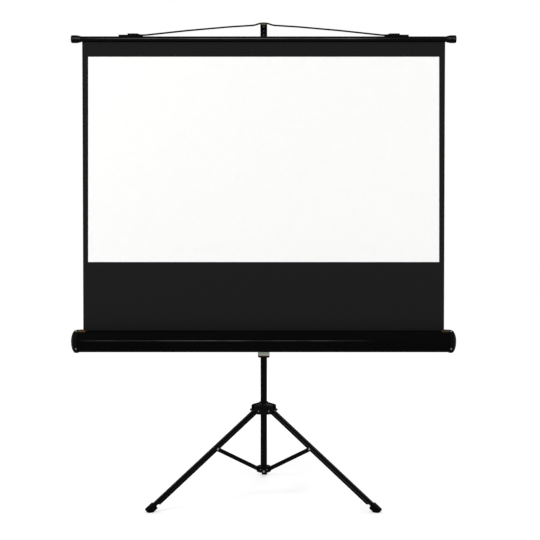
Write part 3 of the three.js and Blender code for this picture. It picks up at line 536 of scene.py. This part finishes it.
# Bolts, screws, pins and rivets: turned steel. The bracket's are nickel plated, those of the legs,
# collar and end caps are burnished in oil to a dull grey, and the hub's pins are blued.
nickel, tree, shader = finish("nickel_plated_steel", metallic=1.0)
tree.links.new(mottled(tree, "#a5a39b", "#c4c2bb", wide_mm=4), shader.inputs["Base Color"])
tree.links.new(drift(tree, 0.24, 0.38, wide_mm=2), shader.inputs["Roughness"])
burnished, tree, shader = finish("burnished_steel", metallic=1.0)
tree.links.new(mottled(tree, "#6a6965", "#8d8c86", wide_mm=3), shader.inputs["Base Color"])
tree.links.new(drift(tree, 0.36, 0.5, wide_mm=2), shader.inputs["Roughness"])
blued, tree, shader = finish("blued_steel", roughness=0.4, level=0.1)
tree.links.new(mottled(tree, "#08080a", "#141416", wide_mm=3), shader.inputs["Base Color"])
turned_edge = 0.0004
turned = {
    "bracket_bolt": nickel, "swivel_nut": nickel, "saddle_rivet": nickel, "collar": burnished,
    "rivet": burnished, "cap_screw": burnished, "hub_pin": blued,
}
for body, nodes in frame["record"]["behaviour"]["bodies"].items():
    for node in nodes:
        for start, metal in turned.items():
            if node.startswith(start):
                rounded_piece(node, turned_edge, metal, body, "turned")

# Ends of the hub's pins: each shank is peened over its blued head, which bares the steel there. The
# profile is [radius, height] of one peened end.
hub_pin_out, hub_pin_reach, hub_pin_z = 0.040, 0.031, middle("hub_pin_left_a").z
peened = np.array([[0.0026, -0.0004], [0.0025, 0.0004], [0.0019, 0.0008], [0.0010, 0.0011], [0.0001, 0.0012]])
peened_ends = []
for angle in spokes.values():
    for way in (-1, 1):
        end = on_spoke(angle, hub_pin_out, way * hub_pin_reach, hub_pin_z)
        across = way * np.array([-np.sin(angle), np.cos(angle), 0])
        peened_ends.append(skin(lathe(peened, 24, end, across)))
piece("hub_pin_ends", solid(peened_ends), burnished, "hub")

# Roller and what turns in it: steel tube and spindles, plugs of undyed nylon and a spring of oiled
# wire. All is out of sight in the case, so the CAD solids keep their shape.
nylon_pale, tree, shader = finish("natural_nylon")
tree.links.new(mottled(tree, "#cfcaba", "#dedacd", wide_mm=10), shader.inputs["Base Color"])
spring_steel, tree, shader = finish("oiled_spring_steel", roughness=0.4, metallic=1.0)
spring_tone = mottled(tree, "#2c2522", "#4d4039", wide_mm=4, stretch=(8, 1, 1))
tree.links.new(spring_tone, shader.inputs["Base Color"])
for node, material in (
    ("roller_tube", nickel),
    ("spring_spindle", nickel),
    ("idler_pin", nickel),
    ("roller_plug_left", nylon_pale),
    ("roller_plug_right", nylon_pale),
    ("roller_spring", spring_steel),
):
    frame["nodes"][node].data.materials.clear()
    frame["nodes"][node].data.materials.append(material)

# Case: an extruded aluminium tube in deep black enamel. A ridge runs along its front, and a slot
# along its top lets the cloth out.
shell_low, shell_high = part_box("case_shell")
case_centre = np.array([(shell_low.y + shell_high.y) / 2, (shell_low.z + shell_high.z) / 2])
case_half = np.array([(shell_high.y - shell_low.y) / 2, (shell_high.z - shell_low.z) / 2])
ridge_share = 0.11
case_black, tree, shader = finish("enamelled_aluminium", level=0.02)
# Along the ridge a grey line is painted as a highlight, strongest left of the middle and only on the front,
# in patches.
sideways, depth, height = places(tree)
ridge_highlight = near(tree, height, case_centre[1] + ridge_share * case_half[1], full=0.0003, gone=0.0014)
highlight_span = near(tree, sideways, centre=-0.14, full=0.36, gone=0.56)
highlight_patches = drift(tree, 0.3, 1.0, wide_mm=60, stretch=(2, 8, 8), start=0.35, end=0.65)
highlight_at_front = near(tree, depth, shell_low.y, full=0.010, gone=0.014)
tone = mottled(tree, "#020202", "#060606", wide_mm=160, stretch=(4, 1, 1))
tone = with_painted_highlight(tree, tone, "#5e6260", ridge_highlight, highlight_span, highlight_patches, highlight_at_front)
tree.links.new(tone, shader.inputs["Base Color"])
tree.links.new(drift(tree, 0.28, 0.4, wide_mm=50, stretch=(6, 1, 1)), shader.inputs["Roughness"])
# The real orange peel is 1 mm; it is drawn 2.5 mm wide to show.
grained(tree, shader, wide_mm=2.5, deep_mm=0.04, detail=1.0)
# The most of a side that the rounding of one of its corners may take.
side_share = 0.45


def filleted(points, reach, steps=4, closed=True):
    """Line through the points with each corner drawn as the parabola from reach before it to reach after it:
    (1 - t)^2 start + 2 t (1 - t) corner + t^2 end. An open line keeps its two ends."""
    points = np.asarray(points, float)
    back = np.roll(points, 1, axis=0) - points
    ahead = np.roll(points, -1, axis=0) - points
    back_long = np.linalg.norm(back, axis=1, keepdims=True)
    ahead_long = np.linalg.norm(ahead, axis=1, keepdims=True)
    start = points + back / back_long * np.minimum(reach, side_share * back_long)
    end = points + ahead / ahead_long * np.minimum(reach, side_share * ahead_long)
    t = np.linspace(0, 1, steps + 1)[:, None]
    arcs = (1 - t) ** 2 * start[:, None] + 2 * t * (1 - t) * points[:, None] + t**2 * end[:, None]
    if closed:
        return arcs.reshape(-1, 2)
    return np.concatenate([points[:1], arcs[1:-1].reshape(-1, 2), points[-1:]])


def outward(line, closed=True):
    """Unit normals of a line: its tangent, the difference of its neighbours, turned by a right angle."""
    if closed:
        tangent = np.roll(line, -1, axis=0) - np.roll(line, 1, axis=0)
    else:
        tangent = np.gradient(line, axis=0)
    tangent /= np.linalg.norm(tangent, axis=1, keepdims=True)
    return np.stack([tangent[:, 1], -tangent[:, 0]], axis=1)


def facing_out(line, centre, closed=True):
    """The line, turned round if its normals point to the centre."""
    if np.sum(outward(line, closed) * (line - centre)) < 0:
        return line[::-1]
    return line


def along_x(sections, stations):
    """Rings of [y, z] points at each station x, from one section for all stations or one for each."""
    stations = np.asarray(stations, float)
    place = np.broadcast_to(sections, (len(stations), *sections.shape[-2:]))
    x = np.broadcast_to(stations[:, None, None], (*place.shape[:2], 1))
    return np.concatenate([x, place], axis=2)


def walled(line, wall, start, end):
    """Channel along x: the open line is its outer side, the inner side lies wall inside it, and quads close
    both ends."""
    inner = line - outward(line, closed=False) * wall
    rings = along_x(np.concatenate([line, inner[::-1]]), [start, end])
    points, faces = skin(rings, ends=False)
    count = len(line)
    step = np.arange(count - 1)
    for first, flip in ((0, 1), (2 * count, -1)):
        quad = np.stack([step, step + 1, 2 * count - 2 - step, 2 * count - 1 - step], axis=1) + first
        faces += quad[:, ::flip].tolist()
    return points, faces


case_wall, case_round, slot_half = 0.0016, 0.005, 0.004
outline_shares = np.array([
    [0.86, 1], [1, 0.7], [1, -0.7], [0.86, -1], [-0.53, -1], [-0.75, -0.8], [-1, ridge_share], [-0.75, 0.8],
    [-0.53, 1],
])
outline = case_centre + outline_shares * case_half
slot_edges = np.array([[cloth_y + slot_half, shell_high.z], [cloth_y - slot_half, shell_high.z]])
slotted = np.concatenate([slot_edges[:1], outline, slot_edges[1:]])
shell_line = filleted(slotted, case_round, 5, closed=False)
shell_line = facing_out(shell_line, case_centre, closed=False)
shell = solid([walled(shell_line, case_wall, shell_low.x, shell_high.x)], sharp=20.0)
piece("case_shell_extruded", shell, case_black, "case", ["case_shell"])

# End caps: moulded covers of the same black nylon, domed to a blunt point. Their skirts go over the
# ends of the case, and two screws hold each.
cap_low, cap_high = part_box("case_cap_right")
cap_proud = cap_high.z - shell_high.z
cap_round, cap_gap, cap_ease = 0.006, 0.0003, 0.0006
dome_long, dome_power, point_share = 0.0202, 1.3, 0.02
cap_line = facing_out(filleted(outline, cap_round), case_centre)
cap_normals = outward(cap_line)
# The pocket and the skirt: distance from the middle of the case, and how far outside its outline.
skirt = np.array([
    [shell_high.x + cap_gap, cap_gap], [cap_low.x + cap_ease, cap_gap], [cap_low.x, cap_gap + cap_ease],
    [cap_low.x, cap_proud - cap_ease], [cap_low.x + cap_ease, cap_proud],
])
skirt_lines = cap_line + cap_normals * skirt[:, 1, None, None]
# The dome: x grows as the sine of a quarter turn, and the outline shrinks as a power of its cosine.
fine_quarter = np.linspace(0, np.pi / 2, 13)
dome_x = cap_high.x - dome_long * (1 - np.sin(fine_quarter))
dome_shares = np.cos(fine_quarter) ** dome_power
dome_shares[-1] = point_share
dome_lines = case_centre + (cap_line + cap_normals * cap_proud - case_centre) * dome_shares[:, None, None]
cap_lines = np.concatenate([skirt_lines, dome_lines])
cap_x = np.concatenate([skirt[:, 0], dome_x])
for side, name in ((-1, "left"), (1, "right")):
    mesh = solid([skin(along_x(cap_lines, side * cap_x))], sharp=40.0)
    piece(f"case_cap_{name}_domed", mesh, nylon_black, "case", [f"case_cap_{name}"])

# Slot lip: brown wool felt glued beside the slot, which wipes the cloth. At each end of the slot a short pad
# of it is folded over the front corner of the case; these pads stand where a brownish highlight lies on that
# corner, and their brown paints it.
felt, tree, shader = finish("brown_wool_felt", roughness=0.95, level=0.1)
felt_tone = mottled(tree, "#35240f", "#5f4624", wide_mm=3, detail=5.0)
felt_in_painted_shade = mottled(tree, "#2a2218", "#453b2e", wide_mm=3, detail=5.0)
# The right half is painted greyer and darker, as shade.
painted_shade_ramp = 0.4
sideways, _, _ = places(tree)
tree.links.new(blended(tree, sideways, -painted_shade_ramp, painted_shade_ramp, felt_tone, felt_in_painted_shade), shader.inputs["Base Color"])
# Felt fibres are 0.02 mm; they are drawn 0.8 mm wide.
grained(tree, shader, wide_mm=0.8, deep_mm=0.3, stretch=(3, 1, 1))
lip_edge = 0.0012
rounded_piece("slot_lip", lip_edge, felt, "case", "felt")
# Corner pads: brown felt along the case's front top corner near its ends, a painted highlight.
pad_thick, pad_lift, pad_drop = 0.0011, 0.0001, 0.0055
pad_inner, pad_gap = 0.670, 0.0006
beside_slot = shell_line[:, 0] < cloth_y - slot_half + weld_gap
pad_line = shell_line[beside_slot & (shell_line[:, 1] > shell_high.z - pad_drop)]
pad_section = pad_line + outward(pad_line, closed=False) * (pad_thick + pad_lift)
for side, name in ((-1, "left"), (1, "right")):
    mesh = solid([walled(pad_section, pad_thick, side * pad_inner, side * (cap_low.x - pad_gap))])
    piece(f"painted_highlight_pad_{name}", mesh, felt, "case")

# Top bar: a drawn steel tube, enamelled glossy, with a rolled bead along its front. It holds the hem
# of the cloth.
bar_low, bar_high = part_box("top_bar")
bar_centre = np.array([(bar_low.y + bar_high.y) / 2, (bar_low.z + bar_high.z) / 2])
bar_radius = (bar_high.z - bar_low.z) / 2
bar_front = bar_centre[0] - bar_radius
bar_gloss, tree, shader = finish("glossy_enamelled_tube", level=0.035)
# Along the top of the bead a grey line is painted as a highlight, in patches, strongest left of the middle.
bead_rise = 0.0002
sideways, depth, height = places(tree)
bead_highlight = near(tree, height, bar_centre[1] + bead_rise, full=0.0005, gone=0.0023)
highlight_patches = drift(tree, 0.5, 1.0, wide_mm=50, stretch=(3, 8, 8), start=0.38, end=0.6)
highlight_span = near(tree, sideways, centre=-0.08, full=0.4, gone=0.6, least=0.1)
highlight_at_front = near(tree, depth, bar_front, full=bar_radius - 0.004, gone=bar_radius - 0.002)
tone = mottled(tree, "#020202", "#060606", wide_mm=60, stretch=(5, 1, 1))
tone = with_painted_highlight(tree, tone, "#5c605c", bead_highlight, highlight_patches, highlight_span, highlight_at_front)
tree.links.new(tone, shader.inputs["Base Color"])
tree.links.new(drift(tree, 0.16, 0.28, wide_mm=30, stretch=(8, 1, 1)), shader.inputs["Roughness"])
bar_sides, bar_wall = 96, 0.0012
bead_high, bead_spread, bead_angle = 0.0006, 0.09, np.radians(179)
bar_angle = np.linspace(0, 2 * np.pi, bar_sides, endpoint=False)
from_bead = (bar_angle - bead_angle + np.pi) % (2 * np.pi) - np.pi
bead = bead_high * np.exp(-((from_bead / bead_spread) ** 2))
bar_circle = np.stack([np.cos(bar_angle), np.sin(bar_angle)], axis=1)
bar_outer = bar_centre + bar_circle * (bar_radius + bead[:, None])
bar_inner = bar_centre + bar_circle * (bar_radius - bar_wall)
rings = np.concatenate([
    along_x(bar_inner, [bar_low.x, bar_high.x]), along_x(bar_outer, [bar_high.x, bar_low.x]),
    along_x(bar_inner, [bar_low.x]),
])
bar_mesh = solid([skin(rings, ends=False)], sharp=20.0)
piece("top_bar_enamelled", bar_mesh, bar_gloss, "bar", ["top_bar"])

# Bar caps: flared nylon covers on the ends of the bar, with shallow finger ribs round the flare. A grey line
# is painted along their front, a little above the middle, as a highlight.
cap_nylon, tree, shader = finish("black_nylon_painted_highlight", level=0.03)
cap_highlight_rise = 0.0006
_, _, height = places(tree)
cap_highlight_line = near(tree, height, bar_centre[1] + cap_highlight_rise, full=0.0012, gone=0.0052)
highlight_patches = drift(tree, 0.35, 1.0, wide_mm=8, start=0.35, end=0.6)
tone = mottled(tree, "#020202", "#060606", wide_mm=20)
tree.links.new(with_painted_highlight(tree, tone, "#3c3c3b", cap_highlight_line, highlight_patches), shader.inputs["Base Color"])
tree.links.new(drift(tree, 0.4, 0.55, wide_mm=6), shader.inputs["Roughness"])
# The moulded grain is 0.1 mm; it is drawn 0.7 mm wide.
grained(tree, shader, wide_mm=0.7, deep_mm=0.05, detail=2.0)
bore_gap, bore_deep, bore_ease = 0.0001, 0.023, 0.0003
neck, neck_ease, flare_share, straight_share = 0.0124, 0.0005, 0.42, 0.8
crown, face_share, face_rise, face_tip = 0.0045, 0.4, 0.0005, 0.0008
rib_count, rib_share = 24, 0.022
rib_start, rib_stop, rib_fade = 0.016, 0.006, 0.003
for side, name in ((-1, "left"), (1, "right")):
    low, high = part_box(f"bar_cap_{name}")
    start = high.x if side < 0 else low.x
    long, wide = high.x - low.x, (high.z - low.z) / 2
    share = np.linspace(0, 1, 15)
    flare = neck + (wide - neck) * (3 * share**2 - 2 * share**3)
    profile = np.concatenate([
        [[bar_radius + bore_gap, bore_deep], [bar_radius + bore_gap, bore_ease]],
        [[bar_radius + 2 * bore_ease, 0], [neck - neck_ease, 0]],
        np.stack([flare, neck_ease + (long * flare_share - neck_ease) * share], axis=1),
        [[wide, long * straight_share]],
        np.stack([
            wide - crown * (1 - np.cos(fine_quarter)), long - face_rise - crown * (1 - np.sin(fine_quarter)),
        ], axis=1),
        [[wide * face_share, long - face_rise / 5], [face_tip, long]],
    ])
    rings = lathe(profile, bar_sides, (start, *bar_centre), (side, 0, 0))
    # The ribs press the flare in by rib_share of its radius at most, fading out towards its two ends.
    ribbed = np.clip((profile[:, 1] - rib_start) / rib_fade, 0, 1)
    ribbed = ribbed * np.clip((long - rib_stop - profile[:, 1]) / rib_fade, 0, 1)
    press = 1 - rib_share * ribbed[:, None] * (0.5 + 0.5 * np.cos(rib_count * bar_angle)) ** 2
    rings[..., 1:] = bar_centre + (rings[..., 1:] - bar_centre) * press[..., None]
    mesh = solid([skin(rings)], sharp=35.0)
    piece(f"bar_cap_{name}_flared", mesh, cap_nylon, "bar", [f"bar_cap_{name}"])

# Hanger: spring steel wire bent to a low bow, browned in oil. Its ends sit in the clamps and
# its flat middle stands on the hook of the mast's head.
wire_brown, tree, shader = finish("browned_spring_wire", roughness=0.55, level=0.01)
wire_tone = mottled(tree, "#140b08", "#261712", wide_mm=30, stretch=(4, 1, 1))
tree.links.new(wire_tone, shader.inputs["Base Color"])
wire_low, wire_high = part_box("hanger_wire")
wire_radius, wire_round = 0.0031, 0.012
set_back, end_lift, top_drop = 0.034, 0.0022, 0.0025
wire_end_z = wire_low.z + end_lift
rise_full = wire_high.z - top_drop - wire_end_z
# Bends of the right half, from the flat middle to the end: distance from the middle, and rise.
wire_half = np.array([
    [0.0135, 0.0535], [0.035, 0.0442], [0.13, 0.0372], [0.29, 0.0205], [0.45, 0], [0.508, 0],
])
wire_half[:, 1] *= rise_full / wire_half[0, 1]
wire_bends = np.concatenate([wire_half[::-1] * [-1, 1], wire_half])


def bent_wire(bends, radius, sides=16):
    """Rings of a round wire through [x, rise] bends, each drawn as a parabola; its plane leans back by
    set_back over the full rise, and a ring lies across the mean of the directions before and after it."""
    x, rise = filleted(bends, wire_round, 6, closed=False).T
    core = np.stack([x, cloth_y + set_back * rise / rise_full, wire_end_z + rise], axis=1)
    tangent = np.gradient(core, axis=0)
    tangent /= np.linalg.norm(tangent, axis=1, keepdims=True)
    normal = np.array([0, rise_full, -set_back]) / np.hypot(rise_full, set_back)
    side = np.cross(normal, tangent)
    angle = np.linspace(0, 2 * np.pi, sides, endpoint=False)[:, None]
    return core[:, None] + radius * (np.cos(angle) * normal + np.sin(angle) * side[:, None])


wire_mesh = solid([skin(bent_wire(wire_bends, wire_radius))], sharp=40.0)
piece("hanger_wire_bent", wire_mesh, wire_brown, "hanger", ["hanger_wire"])

# Head fittings: a brass pad let into the nose of the hook, and three domed rivets down the head,
# phosphated to a dull grey.
brass, tree, shader = finish("dulled_brass", roughness=0.55, metallic=0.6)
tree.links.new(mottled(tree, "#38341f", "#5c563a", wide_mm=3), shader.inputs["Base Color"])
hook_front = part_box("mast_head")[0].y
head_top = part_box("mast_head")[1].z
nose_half, nose_round = 0.0082, 0.002
nose_low, nose_high = head_top - 0.0097, head_top - 0.0027
nose_line = filleted([
    [-nose_half, nose_low], [nose_half, nose_low], [nose_half, nose_high], [-nose_half, nose_high],
], nose_round)
nose_middle = nose_line.mean(axis=0)
# Distance of each ring behind the nose of the hook, and its share of the outline.
nose_y, nose_shares = np.array([[0.0004, -0.0006, -0.0009], [1.0, 1.0, 0.9]])
nose_rings = nose_middle + (nose_line - nose_middle) * nose_shares[:, None, None]
nose_y = np.broadcast_to(hook_front + nose_y[:, None], nose_rings.shape[:2])
nose_rings = np.stack([nose_rings[..., 0], nose_y, nose_rings[..., 1]], axis=2)
piece("hook_pad", solid([skin(nose_rings)], sharp=30.0), brass, "mast")
phosphate, tree, shader = finish("phosphated_steel", roughness=0.6, level=0.1)
tree.links.new(mottled(tree, "#38383d", "#54545b", wide_mm=2), shader.inputs["Base Color"])
rivet_round, rivet_high, rivet_sunk, rivet_tip = 0.0034, 0.0011, 0.0006, 0.0001
dome = np.stack([rivet_round * np.cos(fine_quarter), rivet_high * np.sin(fine_quarter)], axis=1)
dome[-1, 0] = rivet_tip
dome = np.concatenate([[[rivet_round, -rivet_sunk]], dome])
# Each rivet: distance behind the nose of the hook, and below the top of the head.
rivets = [
    skin(lathe(dome, 32, (0, hook_front + behind, head_top - below), (0, -1, 0)))
    for behind, below in ((0.0022, 0.0147), (0.0312, 0.0243), (0.0312, 0.0408))
]
piece("head_rivets", solid(rivets), phosphate, "mast")

# Screen cloth: a vinyl-coated glass-fibre cloth, matt white in front and black behind, with a
# printed black border. It hangs tight between the bar and the roller, drawn in a little lower down.
cloth_wide = cloth_high.x - cloth_low.x
hem_in_bar = 0.0028
cloth_long = cloth_high.z - cloth_low.z + hem_in_bar
cloth_thick = 0.0005
draw_in, draw_power = 0.0045, 0.8
sway_deep, sway_waves, sway_power = 0.00035, 5, 3
columns, rows = 121, 97
u = np.linspace(-1, 1, columns)
v = np.linspace(0, 1, rows)[:, None]
# The edges draw in as a power of the way down, and sway out of the plane in waves that die off inwards.
x = (cloth_wide / 2 - draw_in * (1 - v) ** draw_power) * u
sway = sway_deep * np.sin(np.pi * v) * np.cos(sway_waves * np.pi * u) * np.abs(u) ** sway_power
z = np.broadcast_to(cloth_low.z + v * cloth_long, x.shape)
front = np.stack([x, cloth_y - cloth_thick / 2 + sway, z], axis=2)
rear = front + [0, cloth_thick, 0]
mesh = solid([skin(np.concatenate([front, rear[:, ::-1]], axis=1))])
place = values_of(mesh.vertices, "co", 3)[values_of(mesh.loops, "vertex_index", kind=int)[:, 0]]
facing = values_of(mesh.polygons, "normal", 3)[:, 1]
is_front = np.repeat(facing < -0.5, values_of(mesh.polygons, "loop_total", kind=int)[:, 0])
# The front's UV runs over the whole cloth; every other face takes one point of the black border.
border_uv = [0.5, 0.04]
front_uv = np.stack([place[:, 0] / cloth_wide + 0.5, (place[:, 2] - cloth_low.z) / cloth_long], axis=1)
cloth_uv = np.where(is_front[:, None], front_uv, border_uv)
mesh.uv_layers.new(name="cloth").data.foreach_set("uv", cloth_uv.ravel())

# Distances in metres, worked out from the UV: off the middle, up, into the picture and in from the cut edge.
picture_half, picture_low, picture_high = 0.665, 0.9103, 1.688
screen_vinyl, tree, shader = finish("matt_screen_vinyl", roughness=0.9, level=0.03)
where = add(tree, "UVMap", uv_map="cloth")
split = add(tree, "SeparateXYZ", {0: where.outputs[0]})
aside = add(tree, "Math", {0: split.outputs[0], 1: 0.5}, operation="SUBTRACT")
aside = add(tree, "Math", {0: aside.outputs[0]}, operation="ABSOLUTE")
aside = add(tree, "Math", {0: aside.outputs[0], 1: cloth_wide}, operation="MULTIPLY")
upwards = add(tree, "Math", {0: split.outputs[1], 1: cloth_long, 2: cloth_low.z}, operation="MULTIPLY_ADD")
to_side = add(tree, "Math", {0: picture_half, 1: aside.outputs[0]}, operation="SUBTRACT")
to_low = add(tree, "Math", {0: upwards.outputs[0], 1: picture_low}, operation="SUBTRACT")
to_high = add(tree, "Math", {0: picture_high, 1: upwards.outputs[0]}, operation="SUBTRACT")
inside = add(tree, "Math", {0: to_side.outputs[0], 1: to_low.outputs[0]}, operation="MINIMUM")
inside = add(tree, "Math", {0: inside.outputs[0], 1: to_high.outputs[0]}, operation="MINIMUM").outputs[0]
to_edge = add(tree, "Math", {0: cloth_wide / 2, 1: aside.outputs[0]}, operation="SUBTRACT").outputs[0]
# Glass threads are 0.4 mm apart, too fine to show: the cloth's mottle is drawn 5 mm wide.
ink = mottled(tree, "#1b1b1c", "#1f1f20", wide_mm=5)
# The ink lies twice along the picture's edge, 3 mm wide, and the cut edge of the cloth is sealed.
twice_wide, seal_wide, ink_fade, picture_fade = 0.0030, 0.0042, 0.0004, 0.0003
ink = blended(tree, inside, -twice_wide - ink_fade, -twice_wide, ink, "#161616")
ink = blended(tree, to_edge, seal_wide, seal_wide + ink_fade, "#0b0b0b", ink)
white = mottled(tree, "#fafaf9", "#fcfcfb", wide_mm=20)
face = blended(tree, inside, -picture_fade, picture_fade, ink, white)
tree.links.new(face, shader.inputs["Base Color"])
grained(tree, shader, wide_mm=1.6, deep_mm=0.03, detail=1.0)
cloth = piece("screen_cloth_stretched", mesh, screen_vinyl, "bar", ["screen_cloth"])
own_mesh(cloth)

# The rest of the cloth is wound on the roller, three turns, its white side in. Its turns lie a
# little thinner than the free cloth, so that they keep clear of each other.
wound_low, wound_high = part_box("wound_cloth")
wound_centre = np.array([(wound_low.y + wound_high.y) / 2, (wound_low.z + wound_high.z) / 2])
turns, turn_steps = 3, 48
wound_deep, turn_thick = 0.0013, 0.7 * cloth_thick
roll_inner = (wound_high.z - wound_low.z) / 2 - wound_deep
roll_angle = np.linspace(0, turns * 2 * np.pi, turns * turn_steps + 1)
spiral = roll_inner + (wound_deep - cloth_thick) * roll_angle / roll_angle[-1] + turn_thick
spiral_line = wound_centre + np.stack([np.cos(roll_angle), np.sin(roll_angle)], axis=1) * spiral[:, None]
spiral_line = facing_out(spiral_line, wound_centre, closed=False)
roll = solid([walled(spiral_line, turn_thick, wound_low.x, wound_high.x)])
back_vinyl, tree, shader = finish("black_backing_vinyl", roughness=0.85, level=0.03)
tree.links.new(mottled(tree, "#111111", "#181818", wide_mm=6), shader.inputs["Base Color"])
wound = piece("cloth_turns", roll, back_vinyl, "roller", ["wound_cloth"])
